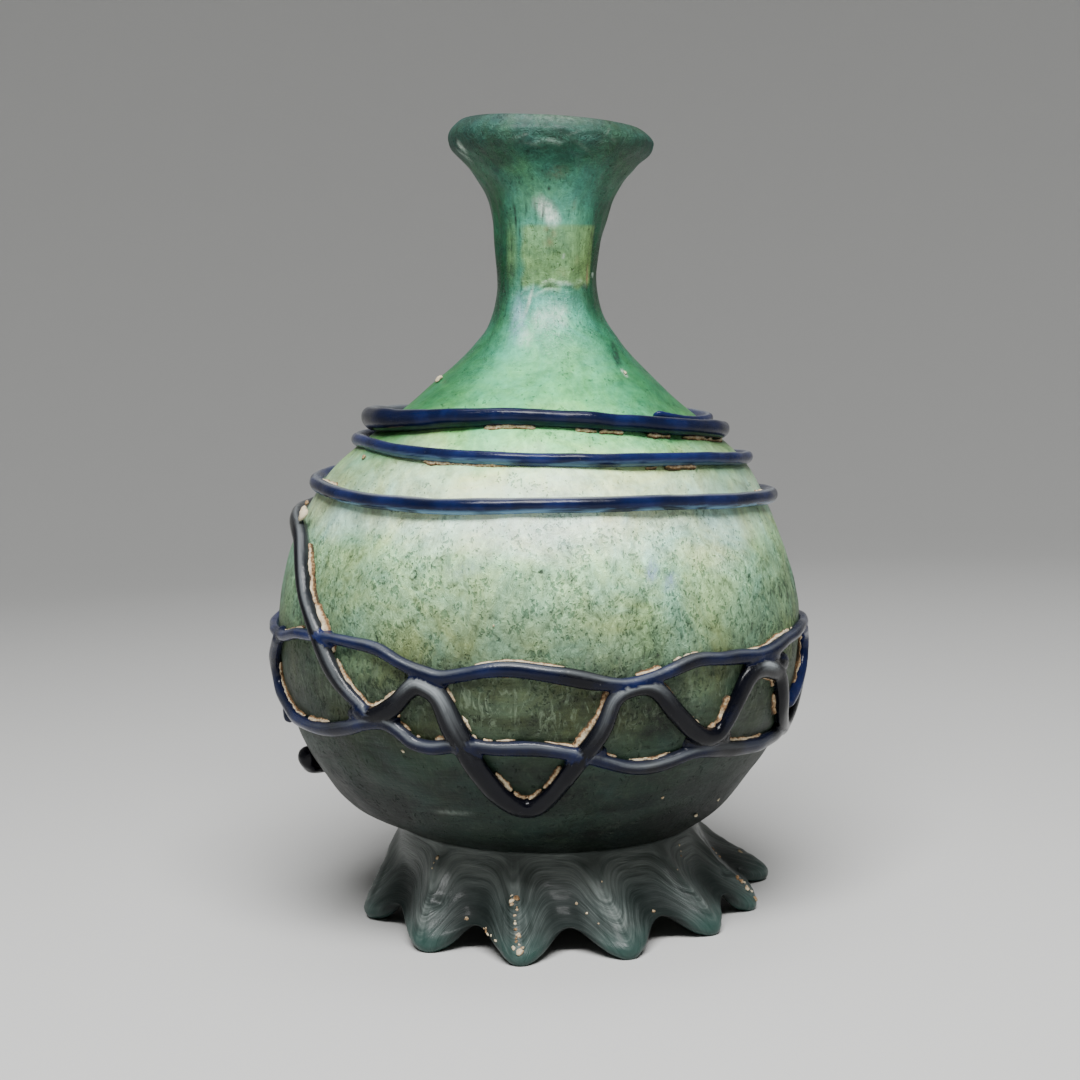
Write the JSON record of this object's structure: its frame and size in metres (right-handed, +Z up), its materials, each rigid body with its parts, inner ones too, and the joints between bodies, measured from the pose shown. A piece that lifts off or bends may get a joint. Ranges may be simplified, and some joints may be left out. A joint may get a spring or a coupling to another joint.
{
  "type": "glass bottle",
  "caption": "Ancient blown-glass bottle with a globular body, funnel mouth, blue trailed threads wound on the shoulder and zigzagged round the belly, and a toed foot.",
  "frame": {"origin": "on the surface the toes stand on, below the middle of the bounding box", "axes": "+Z up through the mouth; -Y is the front with the deep V of the zigzag; the vessel leans 2.5 degrees towards +X"},
  "size_m": [0.1033, 0.1037, 0.1511],
  "materials": {
    "pale_green_glass": "weathered, milky and pitted, half clear",
    "dark_green_glass": "glossy, with flow lines and a few bubbles",
    "blue_glass": "glossy cobalt, nearly opaque, tan crust in the corners"
  },
  "bodies": {
    "root": {"body": "pale_green_glass", "foot": "dark_green_glass", "blue_trail": "blue_glass"}
  },
  "joints": []
}
